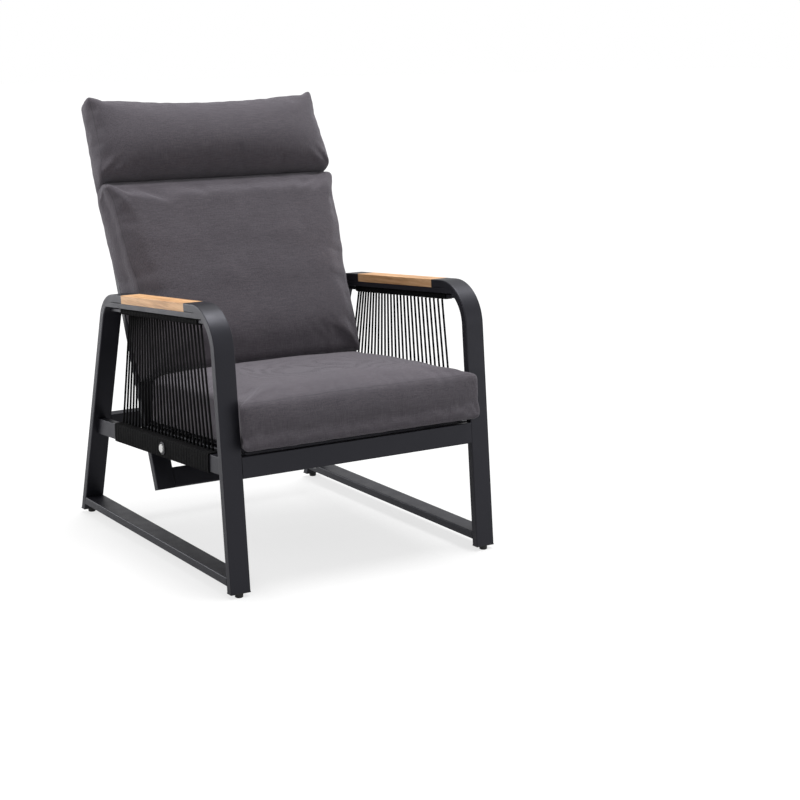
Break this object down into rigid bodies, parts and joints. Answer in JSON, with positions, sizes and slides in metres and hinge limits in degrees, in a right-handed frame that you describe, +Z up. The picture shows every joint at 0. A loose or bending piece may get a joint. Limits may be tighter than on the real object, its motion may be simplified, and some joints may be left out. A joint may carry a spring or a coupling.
{
  "type": "reclining garden armchair",
  "caption": "Outdoor armchair with a flat-tube frame, wooden arm pads, roped sides and thick cushions, whose back reclines on a lockable gas spring.",
  "frame": {"origin": "middle of the chair's outline at floor level, under the bottom of its box", "axes": "+Z up, +X to the sitter's left, the chair faces -Y"},
  "size_m": [0.72, 0.859, 1.073],
  "materials": {
    "charcoal_paint": "fine textured powder coat",
    "teak": "oiled, straight grain",
    "rope": "round braided outdoor rope",
    "black_plastic": "matte",
    "steel": "stainless",
    "chrome_rod": "ground and plated",
    "black_steel": "satin",
    "white_plastic": "satin",
    "bezel_metal": "black anodised, bright turned edge",
    "cushion_fabric": "plain weave outdoor fabric"
  },
  "bodies": {
    "base": {"arm_pad_left": "teak", "arm_pad_right": "teak", "arm_strap_left": "charcoal_paint", "arm_strap_right": "charcoal_paint", "bearer_blocks": "charcoal_paint", "block_screws": "steel", "button_bezel": "bezel_metal", "button_coil": "steel", "button_housing": "black_plastic", "foot_plugs": "black_plastic", "front_leg_left": "charcoal_paint", "front_leg_right": "charcoal_paint", "front_rail": "charcoal_paint", "glides": "black_plastic", "lower_rope_wrap_left": "rope", "lower_rope_wrap_right": "rope", "pad_screws": "steel", "pivot_bolts": "steel", "pivot_bosses": "charcoal_paint", "rear_leg_left": "charcoal_paint", "rear_leg_right": "charcoal_paint", "rear_rail": "charcoal_paint", "rope_strands_left": "rope", "rope_strands_right": "rope", "runner_left": "charcoal_paint", "runner_right": "charcoal_paint", "seat_bearer_left": "charcoal_paint", "seat_bearer_right": "charcoal_paint", "seat_crossbar": "charcoal_paint", "seat_cushion": "cushion_fabric", "seat_slat_1": "charcoal_paint", "seat_slat_2": "charcoal_paint", "seat_slat_3": "charcoal_paint", "seat_slat_4": "charcoal_paint", "seat_slat_5": "charcoal_paint", "seat_slat_6": "charcoal_paint", "side_rail_left": "charcoal_paint", "side_rail_right": "charcoal_paint", "spring_front_fork": "charcoal_paint", "spring_front_pin": "steel", "upper_rope_rails": "charcoal_paint", "upper_rope_wrap_left": "rope", "upper_rope_wrap_right": "rope"},
    "back": {"back_side_bar_left": "charcoal_paint", "back_side_bar_right": "charcoal_paint", "back_head_bar": "charcoal_paint", "back_foot_bar": "charcoal_paint", "back_slat_1": "charcoal_paint", "back_slat_2": "charcoal_paint", "back_slat_3": "charcoal_paint", "back_slat_4": "charcoal_paint", "back_slat_5": "charcoal_paint", "pivot_bushes": "black_plastic", "spring_rear_fork": "charcoal_paint", "spring_rear_pin": "steel", "back_cushion": "cushion_fabric"},
    "gas_spring_rod": {"spring_release_head": "steel", "spring_rod": "chrome_rod"},
    "gas_spring_cylinder": {"spring_cylinder": "black_steel"},
    "release_button": {"release_button": "white_plastic"}
  },
  "joints": [
    {"name": "back_recline", "type": "hinge", "parent": "base", "child": "back", "pos_m": [0, 0.13528, 0.2608], "axis": [-1, 0, 0], "range_deg": [0, 30]},
    {"name": "gas_spring_swing", "type": "hinge", "parent": "base", "child": "gas_spring_rod", "pos_m": [0, -0.20295, 0.2239], "axis": [1, 0, 0], "range_deg": [0, 8.4]},
    {"name": "gas_spring_slide", "type": "slide", "parent": "gas_spring_rod", "child": "gas_spring_cylinder", "axis": [0, -0.9867, 0.1628], "range_m": [0, 0.0384]},
    {"name": "button_press", "type": "slide", "parent": "base", "child": "release_button", "axis": [1, 0, 0], "range_m": [0, 0.003], "stiffness_N_per_m": 600, "springref_m": -0.002, "deforming": ["button_coil"]}
  ],
  "couplings": [
    {"joint": "gas_spring_swing", "follows": "back_recline", "ratio": 0.27661},
    {"joint": "gas_spring_slide", "follows": "back_recline", "m_per_rad": 0.073014}
  ]
}
